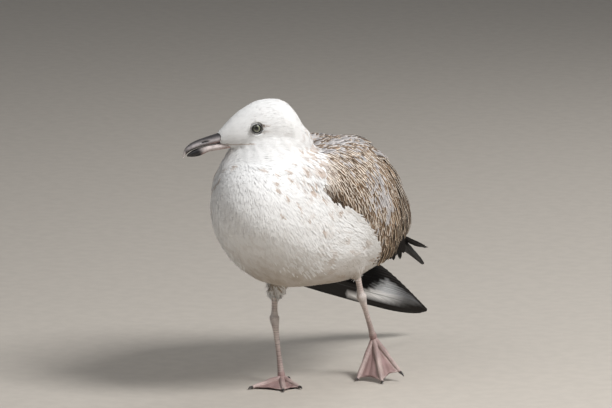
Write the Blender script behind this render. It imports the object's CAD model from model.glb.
"""A life-size young gull for the museum shelf: skin, coat, wings, bare parts and studio."""

from functools import lru_cache
from math import cos, pi, radians, sin

import bmesh
import bpy
import numpy as np
from bpy.props import FloatProperty, FloatVectorProperty, IntProperty, PointerProperty
from bpy.types import Operator, Panel, PropertyGroup
from mathutils import Matrix, Vector
from mathutils.bvhtree import BVHTree


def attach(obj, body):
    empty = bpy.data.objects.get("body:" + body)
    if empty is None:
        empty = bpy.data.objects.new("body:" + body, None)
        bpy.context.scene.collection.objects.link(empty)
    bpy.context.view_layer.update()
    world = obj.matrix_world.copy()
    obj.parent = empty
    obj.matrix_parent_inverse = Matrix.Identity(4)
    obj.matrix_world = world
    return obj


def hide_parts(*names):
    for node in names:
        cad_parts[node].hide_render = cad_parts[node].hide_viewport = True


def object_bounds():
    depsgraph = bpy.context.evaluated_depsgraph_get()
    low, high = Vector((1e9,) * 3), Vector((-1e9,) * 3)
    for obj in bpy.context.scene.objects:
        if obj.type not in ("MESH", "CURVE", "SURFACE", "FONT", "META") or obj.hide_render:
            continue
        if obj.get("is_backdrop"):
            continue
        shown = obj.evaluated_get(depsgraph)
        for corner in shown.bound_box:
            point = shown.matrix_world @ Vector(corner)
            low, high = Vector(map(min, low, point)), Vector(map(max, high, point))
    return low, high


bl_info = {
    "name": "Young Gull",
    "version": (1, 0, 0),
    "blender": (4, 5, 0),
    "location": "3D View > Sidebar > Gull",
    "description": "Dresses the solids of a young gull in skin, feathers and bare parts",
    "category": "Mesh",
}

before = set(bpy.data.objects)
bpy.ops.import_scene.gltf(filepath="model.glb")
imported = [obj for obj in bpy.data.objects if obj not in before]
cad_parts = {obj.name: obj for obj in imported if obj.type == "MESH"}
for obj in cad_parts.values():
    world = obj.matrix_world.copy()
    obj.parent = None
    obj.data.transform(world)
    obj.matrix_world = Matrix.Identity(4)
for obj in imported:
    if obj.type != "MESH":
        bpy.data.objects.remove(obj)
CAD_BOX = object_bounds()

# Places below are in the model's own millimetres: the bird faces -Y and its left is +X.
FRAME_SHIFT = np.array((1.1, -87.65, 0.0))  # from the model's place to the frame's
MM = 0.001

HEAD_AT = np.array((-11.2, -85.0, 293.0))  # midway between the eyes
HEAD_TURN = 54  # degrees to the bird's right
HEAD_NOD = 13  # degrees down
FLESH = ("trunk", "neck", "head", "thigh_left", "thigh_right", "wing_left", "wing_right")
EYE = {"side": 13.2, "up": 0.4, "radius": 7.4}
ABOVE_FLOOR = 0.02  # the lowest that any part of a foot comes

# The main view. The camera looks at the middle of a picture in which the planted foot's base
# stands at a given pixel.
VIEW_AZIMUTH, VIEW_ELEVATION, VIEW_DISTANCE = radians(28), radians(9), 6.0
PICTURE = (612, 408)
PIXEL = 0.00108  # metres at the bird
FOOT_PIXEL = (281.5, 375.3)  # from the picture's left and from its top
FOOT_AT = Vector((-0.0289, -0.07765, 0.008))  # in the frame, in metres


# ---- numbers and places ----------------------------------------------------------------------
def unit(vectors):
    length = np.linalg.norm(vectors, axis=-1, keepdims=True)
    return vectors / np.maximum(length, 1e-9)


def turned(degrees, axis):
    return np.array(Matrix.Rotation(radians(degrees), 3, axis))


HEAD_AXES = turned(-HEAD_TURN, "Z") @ turned(HEAD_NOD, "X")


def in_head(points):
    """Model places of points given in the head's frame: to its left, ahead, up."""
    return (np.asarray(points, float) * (1, -1, 1)) @ HEAD_AXES.T + HEAD_AT


def from_head(points):
    """The head's (left, ahead, up) of model places."""
    return ((np.asarray(points, float) - HEAD_AT) @ HEAD_AXES) * (1, -1, 1)


def smoothstep(low, high, values):
    t = np.clip((np.asarray(values, float) - low) / (high - low), 0, 1)
    return t * t * (3 - 2 * t)


def catmull(table, places):
    """Rows of the table at places from 0 to 1, on smooth curves through them."""
    table = np.asarray(table, float)
    last = len(table) - 1
    spot = np.clip(np.asarray(places, float), 0, 1) * last
    i = np.minimum(spot.astype(int), last - 1)
    t = (spot - i)[:, None]
    a, b, c, d = (table[np.clip(i + k, 0, last)] for k in (-1, 0, 1, 2))
    cube = 3 * b - a - 3 * c + d
    return 0.5 * (2 * b + (c - a) * t + (2 * a - 5 * b + 4 * c - d) * t**2 + cube * t**3)


def mottle(points, size, seed=0):
    """Smooth random numbers from 0 to 1 that change over about size millimetres."""
    table = np.random.default_rng(seed).random(4096)
    spot = np.asarray(points, float) / size
    cell = np.floor(spot).astype(np.int64)
    t = spot - cell
    t = t * t * (3 - 2 * t)
    total = 0
    for corner in np.ndindex(2, 2, 2):
        at = cell + corner
        pick = (at[:, 0] * 73856093) ^ (at[:, 1] * 19349663) ^ (at[:, 2] * 83492791)
        share = np.prod(np.where(np.array(corner), t, 1 - t), axis=1)
        total = total + share * table[pick & 4095]
    return total


def near(points, centre, reach):
    """1 at the centre, falling to 0 at reach; reach may differ along x, y and z."""
    away = np.linalg.norm((points - np.asarray(centre, float)) / reach, axis=1)
    return 1 - smoothstep(0.35, 1, away)


def to_camera(azimuth, elevation):
    """The way from the bird to a camera, or to a lamp."""
    flat = cos(elevation)
    return Vector((sin(azimuth) * flat, -cos(azimuth) * flat, sin(elevation)))


def view_axes(azimuth, elevation):
    """Towards the camera, to its right and up, and the place in the picture's middle."""
    back = to_camera(azimuth, elevation)
    right = Vector((cos(azimuth), sin(azimuth), 0))
    up = back.cross(right)
    across, high = PICTURE[0] / 2 - FOOT_PIXEL[0], FOOT_PIXEL[1] - PICTURE[1] / 2
    return back, right, up, FOOT_AT + right * (across * PIXEL) + up * (high * PIXEL)


# ---- making meshes ---------------------------------------------------------------------------
def read(items, key, width=1, kind=np.float32):
    """A value of each of a mesh's items, as a row of width numbers."""
    values = np.empty(len(items) * width, kind)
    items.foreach_get(key, values)
    return values.reshape(-1, width)


def make_object(name, points, faces, material, normals=None):
    """An object from points in model millimetres and faces that all have as many corners."""
    points = (np.asarray(points, float) + FRAME_SHIFT) * MM
    faces = np.asarray(faces, np.int32)
    corners = faces.shape[1]
    mesh = bpy.data.meshes.new(name)
    mesh.vertices.add(len(points))
    mesh.vertices.foreach_set("co", points.astype(np.float32).ravel())
    mesh.loops.add(faces.size)
    mesh.loops.foreach_set("vertex_index", faces.ravel())
    mesh.polygons.add(len(faces))
    mesh.polygons.foreach_set("loop_start", np.arange(0, faces.size, corners, dtype=np.int32))
    mesh.update(calc_edges=True)
    mesh.polygons.foreach_set("use_smooth", np.full(len(faces), True))
    if normals is not None:
        mesh.normals_split_custom_set(normals.reshape(-1, 3))
    mesh.materials.append(material)
    made = bpy.data.objects.new(name, mesh)
    bpy.context.scene.collection.objects.link(made)
    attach(made, "root")
    return made


def paint(made, **layers):
    """Stores a number or a colour for each point of the mesh."""
    for name, values in layers.items():
        values = np.asarray(values, np.float32)
        if values.ndim == 1:
            layer = made.data.attributes.new(name, "FLOAT", "POINT")
            layer.data.foreach_set("value", values)
        else:
            layer = made.data.attributes.new(name, "FLOAT_COLOR", "POINT")
            full = np.concatenate([values, np.ones((len(values), 1), np.float32)], axis=1)
            layer.data.foreach_set("color", full.ravel())


def loft_faces(count, sides):
    """Triangles of a closed loft: count rings of sides points, then the two end points."""
    ring, side = (x.ravel() for x in np.meshgrid(np.arange(count - 1), np.arange(sides)))
    a, b = ring * sides + side, ring * sides + (side + 1) % sides
    walls = [np.stack([a, b, b + sides], 1), np.stack([a, b + sides, a + sides], 1)]
    k = np.arange(sides)
    first, last, end = count * sides, count * sides + 1, (count - 1) * sides
    caps = [
        np.stack([np.full(sides, first), (k + 1) % sides, k], 1),
        np.stack([np.full(sides, last), end + k, end + (k + 1) % sides], 1),
    ]
    return np.concatenate(walls + caps)


def loft_points(rings):
    return np.concatenate([rings.reshape(-1, 3), [rings[0].mean(0)], [rings[-1].mean(0)]])


def outward(points, faces):
    """The faces, turned if the closed surface is inside out."""
    a, b, c = (points[faces[:, k]] for k in range(3))
    volume = np.einsum("ij,ij->i", a, np.cross(b, c)).sum()
    return faces if volume > 0 else faces[:, ::-1]


def joined(parts):
    """One (points, faces) from several."""
    starts = np.cumsum([0] + [len(p) for p, _ in parts[:-1]])
    faces = [outward(p, f) + start for (p, f), start in zip(parts, starts)]
    return np.concatenate([p for p, _ in parts]), np.concatenate(faces)


# ---- the skin and the lie of its coat --------------------------------------------------------
class Surface:
    """A triangulated mesh in model millimetres, with smooth normals, to find places on."""

    def __init__(self, made):
        mesh = made.data
        mesh.calc_loop_triangles()
        self.points = read(mesh.vertices, "co", 3).astype(float) / MM - FRAME_SHIFT
        self.faces = read(mesh.loop_triangles, "vertices", 3, np.int32)
        self.normals = unit(read(mesh.vertices, "normal", 3)[self.faces].mean(1))
        a, b, c = (self.points[self.faces[:, k]] for k in range(3))
        self.areas = np.linalg.norm(np.cross(b - a, c - a), axis=1) / 2
        self.centres = (a + b + c) / 3
        self.tree = BVHTree.FromPolygons(self.points.tolist(), self.faces.tolist())
        if mesh.uv_layers:
            corners = read(mesh.loop_triangles, "loops", 3, np.int32)
            self.uv = read(mesh.uv_layers[0].uv, "vector", 2)[corners]

    def nearest(self, places):
        """The surface's nearest points to the places, and the faces that they are on."""
        found = [self.tree.find_nearest(p) for p in places.tolist()]
        return np.array([f[0] for f in found]), np.array([f[2] for f in found])

    def struck(self, starts, directions):
        """Where rays first meet the surface, and the face there, or -1."""
        hits = [self.tree.ray_cast(s, d) for s, d in zip(starts.tolist(), directions.tolist())]
        places = np.array([h[0] if h[0] else (0, 0, 0) for h in hits], float)
        return places, np.array([-1 if h[2] is None else h[2] for h in hits])


@lru_cache(maxsize=None)
def surface_of(name):
    return Surface(bpy.data.objects[name])


@lru_cache(maxsize=None)
def node_surface(name):
    return Surface(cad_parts[name])


def both_sides(place, way):
    """A guide and its mirror image."""
    return (place, way), tuple((-x, y, z) for x, y, z in (place, way))


# Guides to the lie of the coat: a place and the way the feathers point there.
HEAD_GUIDES = [
    ((0, 38, 3), (0, -1, 0.25)),
    ((0, 22, 14), (0, -1, 0.35)),
    ((0, 0, 26), (0, -1, 0)),
    ((0, -30, 24), (0, -0.85, -0.5)),
    ((0, -50, -5), (0, -0.3, -1)),
    *both_sides((16, 22, -3), (0.25, -1, 0)),
    *both_sides((21, 2, -12), (0, -1, -0.25)),
    *both_sides((22, -25, -5), (0, -0.9, -0.5)),
    ((0, 28, -16), (0, -1, -0.1)),
    ((0, 5, -25), (0, -0.85, -0.6)),
]
BODY_GUIDES = [
    ((-10, -128, 255), (0.05, -0.25, -1)),
    ((45, -80, 255), (0.15, 0.25, -1)),
    ((-50, -80, 250), (-0.15, 0.25, -1)),
    ((0, -5, 262), (0, 0.8, -0.6)),
    ((0, -146, 215), (0, 0, -1)),
    ((0, -128, 165), (0, 0.5, -0.85)),
    *both_sides((58, -85, 205), (0.1, 0.6, -0.75)),
    *both_sides((70, -30, 165), (0, 0.95, -0.35)),
    ((0, -60, 118), (0, 1, -0.1)),
    *both_sides((35, -70, 130), (-0.1, 0.9, -0.35)),
    ((0, 20, 110), (0, 1, 0.05)),
    *both_sides((60, 50, 140), (0, 1, -0.15)),
    ((0, 100, 112), (0, 1, 0.25)),
    ((0, 160, 130), (0, 1, 0.1)),
    ((0, 60, 270), (0, 1, -0.1)),
    ((0, 165, 190), (0, 1, -0.4)),
    ((-34, 8, 104), (0, -0.05, -1)),
    ((43, 42, 122), (0, 0.15, -1)),
]


def lie_of_coat(points, normals):
    """The way the coat lies at points on the skin."""
    places = np.concatenate([in_head([g[0] for g in HEAD_GUIDES]), [g[0] for g in BODY_GUIDES]])
    turned_ways = in_head([g[1] for g in HEAD_GUIDES]) - HEAD_AT
    ways = unit(np.concatenate([turned_ways, [g[1] for g in BODY_GUIDES]]))
    total = np.zeros_like(points)
    for place, way in zip(places, ways):
        away = ((points - place) ** 2).sum(1)
        total += way / (away[:, None] + 80) ** 1.8
    total -= normals * np.einsum("ij,ij->i", total, normals)[:, None]
    return unit(total)


@lru_cache(maxsize=None)
def skin_regions():
    """For each face of the skin, the index in FLESH of the solid that it lies in."""
    centres = surface_of("skin").centres
    gaps = []
    for name in FLESH:
        found = node_surface(name).nearest(centres)[0]
        gaps.append(np.linalg.norm(found - centres, axis=1))
    return np.argmin(gaps, axis=0)


def coat_depth(points):
    """How far the skin lies inside the solids."""
    left, ahead, up = from_head(points).T
    on_head = smoothstep(240, 275, points[:, 2])
    face = smoothstep(-28, 4, ahead) * on_head
    breast = smoothstep(-85, -125, points[:, 1]) * (1 - on_head)
    mantle = near(points, (0, 0, 275), (80, 75, 30)) * smoothstep(-52, -36, points[:, 1])
    return 3.6 - 1.6 * on_head - 1.2 * face - 1.1 * breast + 3.8 * mantle


# ---- markings, the same on skin and coat -----------------------------------------------------
# Where the brown flecks on the sides of neck and breast show in the main view, in its pixels,
# and two more beside the shoulder, in millimetres.
FLECK_PIXELS = (
    (275, 176.1), (273.2, 185), (276.3, 190.8), (262, 171.6), (287.5, 172.5), (289.7, 180.5),
    (292, 165.4), (300.9, 151.5), (308, 162.7), (304.5, 172.5), (305.8, 182.8), (311.2, 187.7),
    (311.2, 145.3), (313.8, 152.9), (285.7, 197.5), (296.4, 205.5), (299.6, 210.9),
    (307.1, 218.5), (338.4, 210.9), (327.7, 212.7), (321.4, 199.3), (322.3, 230.5), (282, 215),
)
SHOULDER_FLECKS = ((60, -60, 238), (58, -66, 246))
FLECK_REACH = (4.2, 3.4, 4.6)


@lru_cache(maxsize=None)
def fleck_places():
    """The middles of the flecks on the skin, all as on the left side."""
    back, right, up, aim = (np.array(v) / MM for v in view_axes(VIEW_AZIMUTH, VIEW_ELEVATION))
    eye = aim + back * VIEW_DISTANCE - FRAME_SHIFT
    across, down = (np.array(FLECK_PIXELS) - np.array(PICTURE) / 2).T[..., None] * PIXEL
    ways = unit(aim + right * across - up * down - FRAME_SHIFT - eye)
    places, _ = surface_of("skin").struck(np.repeat(eye[None], len(ways), axis=0), ways)
    places[:, 0] = np.abs(places[:, 0])
    return np.concatenate([places, SHOULDER_FLECKS])


class Tones:
    """The colours of many points: a ground, and tints laid over it."""

    def __init__(self, ground, count):
        self.all = np.repeat(np.array(ground)[None], count, axis=0)

    def tint(self, share, colour):
        share = np.clip(share, 0, 1)[:, None]
        self.all = self.all * (1 - share) + np.array(colour) * share


def on_shoulder(points):
    """1 where the neck's small feathers meet the front of a wing, and 0 away from it."""
    side = np.sign(points[:, 0])
    angle = round_trunk(points, side)
    gap = points[:, 1] - wing_front(angle)
    return smoothstep(-34, -4, gap) * smoothstep(10, 24, angle) * (angle < 100)


def wispy(points):
    """1 where loose white feathers stand a little off the lower breast and flank."""
    out = np.abs(points[:, 0])
    return near(np.stack([out, points[:, 1], points[:, 2]], 1), (44, -78, 160), (34, 60, 30))


def body_tones(points, colours):
    """The coat's colour at places on the body, head and thighs."""
    tones = Tones(colours.white, len(points))
    fine = mottle(points, 5.5, 2)
    tint_body(tones.tint, points, fine, colours)
    tint_head(tones.tint, points, fine, colours)
    return tones.all


def tint_body(tint, points, fine, colours):
    """The belly's shade, the grey of the back, and the flecks of neck, breast and flank."""
    x, y, z = points.T
    broad = mottle(points, 14, 1)
    streak = mottle(points * (1, 0.25, 1), 4, 6)
    low = smoothstep(188, 112, z + 0.25 * np.abs(x) + 14 * smoothstep(0, 55, y))
    low = low * (1 - 0.5 * smoothstep(110, 92, z))
    tint(0.92 * low * (0.8 + 0.3 * streak), colours.belly)
    tint(0.16 * smoothstep(240, 170, z) * smoothstep(0.45, 0.8, streak), colours.belly)
    back = smoothstep(-45, 0, y) * smoothstep(238, 258, z)
    tint(0.8 * back, colours.mantle)
    wide = np.stack([np.abs(x), y, z], axis=1) + (fine[:, None] - 0.5) * (2, 4, 5)
    marks = sum(near(wide, spot, FLECK_REACH) for spot in fleck_places())
    tint(0.8 * np.clip(marks, 0, 1) * (0.5 + 0.5 * streak), colours.fleck)
    flecks = smoothstep(0.60, 0.72, fine) * smoothstep(0.2, 0.55, broad)
    sides = sum(near(points, (side * 52, -68, 226), (38, 50, 44)) for side in (1, -1))
    nape = near(points, (10, -25, 262), (60, 50, 34))
    tint(0.4 * flecks * np.clip(sides + nape, 0, 1), colours.fleck)
    edge = on_shoulder(points)
    small = mottle(points, 3.6, 8)
    tint(0.6 * edge * smoothstep(0.48, 0.66, small), colours.fleck)
    tint(0.35 * edge * smoothstep(0.5, 0.2, fine), colours.mantle)
    flank = smoothstep(-90, -10, y) * smoothstep(25, 55, np.abs(x)) * smoothstep(230, 200, z)
    streaks = smoothstep(0.58, 0.72, streak) * smoothstep(0.25, 0.6, broad)
    tint(0.38 * streaks * flank, colours.fleck)


def tint_head(tint, points, fine, colours):
    """Dusky feathers round the eye, two short lines behind it, and the gape's line."""
    left, ahead, up = from_head(points).T
    on_head = smoothstep(262, 280, points[:, 2])
    crown = smoothstep(0.5, 0.75, fine) * smoothstep(10, -30, ahead)
    tint(0.05 * on_head * crown, colours.fleck)
    away = np.hypot(ahead - 1.8, (up + 0.2) * 1.2)
    tint(0.3 * on_head * smoothstep(9.5, 5.5, away), colours.dusk)
    before = np.hypot(ahead - 6.6, (up + 2.6) * 0.75)
    tint(0.5 * on_head * smoothstep(5.2, 1.5, before), colours.dusk)
    behind = smoothstep(-4, -7, ahead) * smoothstep(-15, -8, ahead)
    lines = smoothstep(1.3, 0.4, abs(up - 1.0)) + 0.5 * smoothstep(1.2, 0.4, abs(up + 5.5))
    tint(0.75 * on_head * behind * lines, np.array(colours.fleck) * 0.7)
    line = -9.5 - (38 - ahead) * 0.19
    gape = smoothstep(1.0, 0.3, abs(up - line)) * smoothstep(4, 8, ahead)
    tint(0.6 * on_head * gape * smoothstep(44, 40, ahead), colours.fleck)


# ---- materials -------------------------------------------------------------------------------
class Nodes:
    """A short way to write a material's nodes."""

    def __init__(self, name, **values):
        self.material = bpy.data.materials.new(name)
        self.material.use_nodes = True
        self.tree = self.material.node_tree
        self.shader = self.tree.nodes["Principled BSDF"]
        for key, value in values.items():
            socket = key.replace("_", " ").title().replace("Ior", "IOR")
            self.shader.inputs[socket].default_value = value

    def put(self, socket, value):
        if isinstance(value, bpy.types.NodeSocket):
            self.tree.links.new(value, socket)
        elif value is not None:
            socket.default_value = value

    def add(self, kind, *values, out=0, **settings):
        node = self.tree.nodes.new(kind)
        for key, value in settings.items():
            setattr(node, key, value)
        for k, value in enumerate(values):
            self.put(node.inputs[k], value)
        return node.outputs[out]

    def math(self, operation, *values):
        return self.add("ShaderNodeMath", *values, operation=operation)

    def range(self, value, low, high, to_low=0.0, to_high=1.0):
        return self.add(
            "ShaderNodeMapRange", value, low, high, to_low, to_high, interpolation_type="SMOOTHSTEP"
        )

    def mix(self, share, a, b, blend="MIX"):
        node = self.tree.nodes.new("ShaderNodeMix")
        node.data_type, node.blend_type = "RGBA", blend
        self.put(node.inputs[0], share)
        self.put(node.inputs[6], a if isinstance(a, bpy.types.NodeSocket) else (*a, 1))
        self.put(node.inputs[7], b if isinstance(b, bpy.types.NodeSocket) else (*b, 1))
        return node.outputs[2]

    def times(self, colour, number):
        """The colour made lighter or darker by a number."""
        grey = self.add("ShaderNodeCombineXYZ", number, number, number)
        return self.mix(1.0, colour, grey, "MULTIPLY")

    def number(self, name):
        return self.add("ShaderNodeAttribute", attribute_name=name, out=2)

    def colour(self, name):
        return self.add("ShaderNodeAttribute", attribute_name=name, out=0)

    def place(self):
        return self.add("ShaderNodeTexCoord", out=3)

    def noise(self, where, scale, detail=3.0, roughness=0.55):
        node = self.tree.nodes.new("ShaderNodeTexNoise")
        for key, value in (
            ("Vector", where), ("Scale", scale), ("Detail", detail), ("Roughness", roughness)
        ):
            self.put(node.inputs[key], value)
        return node.outputs[0]

    def bump(self, height, strength, distance):
        node = self.tree.nodes.new("ShaderNodeBump")
        self.put(node.inputs["Height"], height)
        self.put(node.inputs["Strength"], strength)
        self.put(node.inputs["Distance"], distance)
        self.put(self.shader.inputs["Normal"], node.outputs[0])

    def finish(self, colour):
        self.put(self.shader.inputs["Base Color"], colour)
        return self.material


def down_material(name):
    """Small soft feathers: the marking's tone, a little darker at the root, with fine barbs."""
    n = Nodes(name, roughness=0.8, sheen_weight=0.25, sheen_roughness=0.5)
    along, across, own = n.number("along"), n.number("across"), n.number("own")
    barb = n.add("ShaderNodeCombineXYZ", n.math("MULTIPLY", across, 5.0), along, own)
    grain = n.noise(barb, 6.0)
    root = n.range(along, 0.0, 0.7, 0.96, 1.0)
    shade = n.math("ADD", root, n.range(grain, 0.3, 0.7, -0.02, 0.02))
    n.bump(grain, 0.12, 0.0003)
    return n.finish(n.times(n.colour("tone"), shade))


def vane_material(name, roughness=0.6, fringe_at=0.8, shaft=0.07, streak=0.85, deep=0.74):
    """Larger feathers: a dark shaft streak, a pale fringe, and barbs that slant from the shaft."""
    n = Nodes(name, roughness=roughness, specular_ior_level=0.18)
    along, across, own = n.number("along"), n.number("across"), n.number("own")
    side = n.math("ABSOLUTE", across)
    slant = n.math("SUBTRACT", n.math("MULTIPLY", along, 34.0), n.math("MULTIPLY", side, 6.0))
    barbs = n.noise(n.add("ShaderNodeCombineXYZ", slant, own, 0.0), 1.6, 4.0, 0.7)
    cloud = n.noise(n.add("ShaderNodeCombineXYZ", n.math("MULTIPLY", along, 5.0), own, side), 1.2)
    vane = n.times(n.colour("tone"), n.range(barbs, 0.25, 0.75, 0.76, 1.2))
    middle = n.range(n.math("ADD", side, n.math("MULTIPLY", cloud, 0.5)), 0.66, 0.30, 0.0, streak)
    vane = n.mix(middle, vane, n.colour("core"))
    rim = n.math("ADD", side, n.range(along, 0.82, 1.0, 0.0, 0.35))
    rim = n.math("ADD", rim, n.range(cloud, 0.3, 0.7, -0.12, 0.10))
    rim = n.math("ADD", rim, n.math("MULTIPLY", n.number("wear"), 0.5))
    vane = n.mix(n.range(rim, fringe_at, fringe_at + 0.12), vane, n.colour("fringe"))
    vane = n.mix(n.range(side, shaft, shaft * 0.4), vane, n.colour("quill"))
    under = n.range(along, 0.2, 0.75, deep, 1.0)  # darker where the row before lies over it
    vane = n.times(vane, under)
    n.bump(barbs, 0.5, 0.0004)
    return n.finish(vane)


def skin_material():
    """The ground under the coat, with the same markings."""
    n = Nodes("plumage_ground", roughness=0.85)
    grain = n.noise(n.place(), 900.0)
    n.bump(grain, 0.4, 0.0004)
    return n.finish(n.times(n.colour("tone"), n.range(grain, 0.3, 0.7, 0.90, 0.99)))


def horn_material(name, roughness, coat=0.0):
    """Bill, claws and the eyes' rims: painted tones with a fine grain."""
    n = Nodes(name, roughness=roughness, coat_weight=coat, coat_roughness=0.2)
    grain = n.noise(n.place(), 260.0, 5.0, 0.65)
    speck = n.noise(n.place(), 1040.0, 2.0)
    n.bump(n.math("ADD", grain, n.math("MULTIPLY", speck, 0.4)), 0.25, 0.0003)
    return n.finish(n.times(n.colour("tone"), n.range(grain, 0.3, 0.7, 0.82, 1.14)))


def leg_material(name, colours):
    """Scaly leg skin: small scales between the modelled plates."""
    n = Nodes(name, roughness=0.5, coat_weight=0.12, coat_roughness=0.35)
    cells = n.tree.nodes.new("ShaderNodeTexVoronoi")
    cells.feature = "DISTANCE_TO_EDGE"
    n.put(cells.inputs["Vector"], n.place())
    n.put(cells.inputs["Scale"], 900.0)
    line = n.range(cells.outputs[0], 0.0, 0.12)
    cloud = n.noise(n.place(), 90.0)
    n.bump(n.math("ADD", line, n.math("MULTIPLY", cloud, 0.5)), 0.45, 0.0003)
    tone = n.mix(n.range(cloud, 0.35, 0.7, 0.0, 0.35), n.colour("tone"), colours.leg_dusk)
    return n.finish(n.mix(n.range(line, 0.0, 1.0, 0.35, 0.0), tone, colours.leg_dusk))


BROW_SHADE = (0.012, 0.011, 0.009)
EYE_EDGE = (0.008, 0.007, 0.006)
PUPIL = (0.003, 0.003, 0.004)


def eye_material(colours):
    """Iris, pupil and edge by the distance from the eye's axis, under a wet surface."""
    n = Nodes("eye_wet", roughness=0.25, coat_weight=1.0, coat_roughness=0.02)
    out = n.number("out")
    spin = n.noise(n.add("ShaderNodeCombineXYZ", n.number("spoke"), out, 0.0), 3.0, 4.0, 0.6)
    iris = n.mix(n.range(spin, 0.3, 0.7), colours.iris, colours.iris_rim)
    iris = n.mix(n.math("MULTIPLY", n.number("brow"), 0.8), iris, BROW_SHADE)
    iris = n.mix(n.range(out, 3.5, 3.9), iris, EYE_EDGE)
    return n.finish(n.mix(n.range(out, 2.2, 1.95), iris, PUPIL))


# ---- feathers --------------------------------------------------------------------------------
def lay(surface, roots, ways, lengths, stations, heights):
    """Middle lines of feathers that start at roots and follow the surface.

    Gives (feather, station, 3) places, normals and forward directions."""
    at, way = roots, ways
    walked = 0
    lines, ups, forwards = [], [], []
    for place, height in zip(stations, heights):
        if place > walked:
            at = at + way * ((place - walked) * lengths)[:, None]
        on, face = surface.nearest(at)
        up = surface.normals[face]
        way = unit(way - up * np.einsum("ij,ij->i", way, up)[:, None])
        at, walked = on, place
        lines.append(on + up * np.asarray(height).reshape(-1, 1))
        ups.append(up)
        forwards.append(way)
    return tuple(np.stack(x, axis=1) for x in (lines, ups, forwards))


def vanes(lines, ups, forwards, widths, outline, section, roundness=0.3):
    """Closed feather blades round middle lines.

    outline gives each station's share of the half width, and section the blade's ring:
    (share of the half width across, height). Gives points, faces, along, across, points in
    each feather, and normals for the faces' corners that lean by roundness at the edges."""
    count, stations = lines.shape[:2]
    wide = unit(np.cross(forwards, ups)) * widths[:, None, None]
    across, high = np.array(section, float).T
    taper = np.array(outline)
    sides = len(section)
    rings = (
        lines[:, :, None]
        + wide[:, :, None] * (taper[:, None] * across)[None, :, :, None]
        + ups[:, :, None] * (high * np.maximum(taper, 0.3)[:, None])[None, :, :, None]
    )
    ends = np.stack([lines[:, 0] - forwards[:, 0] * 0.5, lines[:, -1] + forwards[:, -1] * 0.3], 1)
    points = np.concatenate([rings.reshape(count, -1, 3), ends], axis=1)
    one = loft_faces(stations, sides)
    each = stations * sides + 2
    faces = (one[None] + (np.arange(count) * each)[:, None, None]).reshape(-1, 3)
    place = np.repeat(np.linspace(0, 1, stations), sides)
    along = np.tile(np.concatenate([place, [0, 1]]), count)
    spread = np.tile(np.concatenate([np.tile(across, stations), [0, 0]]), count)
    lean = ups[:, :, None] + unit(wide)[:, :, None] * (roundness * across)[None, None, :, None]
    lean = np.concatenate([lean.reshape(count, -1, 3), ups[:, :1], ups[:, -1:]], axis=1)
    strip = np.concatenate([np.repeat(np.arange(sides), stations - 1)] * 2 + [np.arange(sides)] * 2)
    facing = np.tile(np.where(strip < np.argmax(across), 1.0, -1.0), count)
    normals = unit(lean.reshape(-1, 3))[faces] * facing[:, None, None]
    return points.reshape(-1, 3), faces, along, spread, each, normals


TENT = [(-1, 0), (0, 0.3), (1, 0)]
BROAD = [(-1, 0), (-0.45, 0.35), (0, 0.55), (0.45, 0.35), (1, 0)]


def set_bake_map(made, spots, each, along, across):
    """Gives each feather a small patch at its root's place on the skin's own unwrap."""
    low, high = spots.min(0), spots.max(0)
    spots = 0.003 + 0.994 * (spots - low) / np.maximum(high - low, 1e-6)
    patch = np.stack([across * 0.0013, (along - 0.5) * 0.0026], 1)
    places = np.clip(np.repeat(spots, each, axis=0) + patch, 0.0005, 0.9995)
    layer = made.data.uv_layers.new(name="OFBake")
    corner = read(made.data.loops, "vertex_index", 1, np.int32)[:, 0]
    layer.uv.foreach_set("vector", places[corner].astype(np.float32).ravel())


def scatter(surface, chosen, spacing, rng):
    """Roots about spacing apart on the chosen faces: their places, faces and bake places."""
    area = surface.areas * chosen
    count = int(area.sum() / spacing**2 * 5)
    face = rng.choice(len(area), count, p=area / area.sum())
    u, v = rng.random((2, count, 1))
    over = u + v > 1
    u, v = np.where(over, 1 - u, u), np.where(over, 1 - v, v)
    a, b, c = (surface.points[surface.faces[face, k]] for k in range(3))
    places = a + u * (b - a) + v * (c - a)
    cell = np.floor(places / spacing).astype(np.int64) + 5000
    key = (cell[:, 0] * 10007 + cell[:, 1]) * 10007 + cell[:, 2]
    keep = np.unique(key, return_index=True)[1]
    uv = surface.uv[face]
    spots = uv[:, 0] + u * (uv[:, 1] - uv[:, 0]) + v * (uv[:, 2] - uv[:, 0])
    return places[keep], face[keep], spots[keep]


# ---- settings --------------------------------------------------------------------------------
def colour_setting(name, description, default):
    return FloatVectorProperty(
        name=name, description=description, default=default, subtype="COLOR", min=0, max=1
    )


class GullSizes(PropertyGroup):
    skin_voxel: FloatProperty(
        name="Skin grain", description="Size of the skin's faces", default=0.0016, unit="LENGTH"
    )
    coat_density: FloatProperty(
        name="Coat density", description="1 is a full coat, and less is quicker", default=1.0,
        min=0.05, max=1.5,
    )
    seed: IntProperty(name="Seed", description="Which random coat is laid", default=7)
    nostril: FloatProperty(
        name="Nostril", description="Length of the slit", default=0.0085, unit="LENGTH"
    )
    scute: FloatProperty(
        name="Leg plates", description="Height of a plate on the leg", default=0.0026,
        unit="LENGTH",
    )


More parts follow.
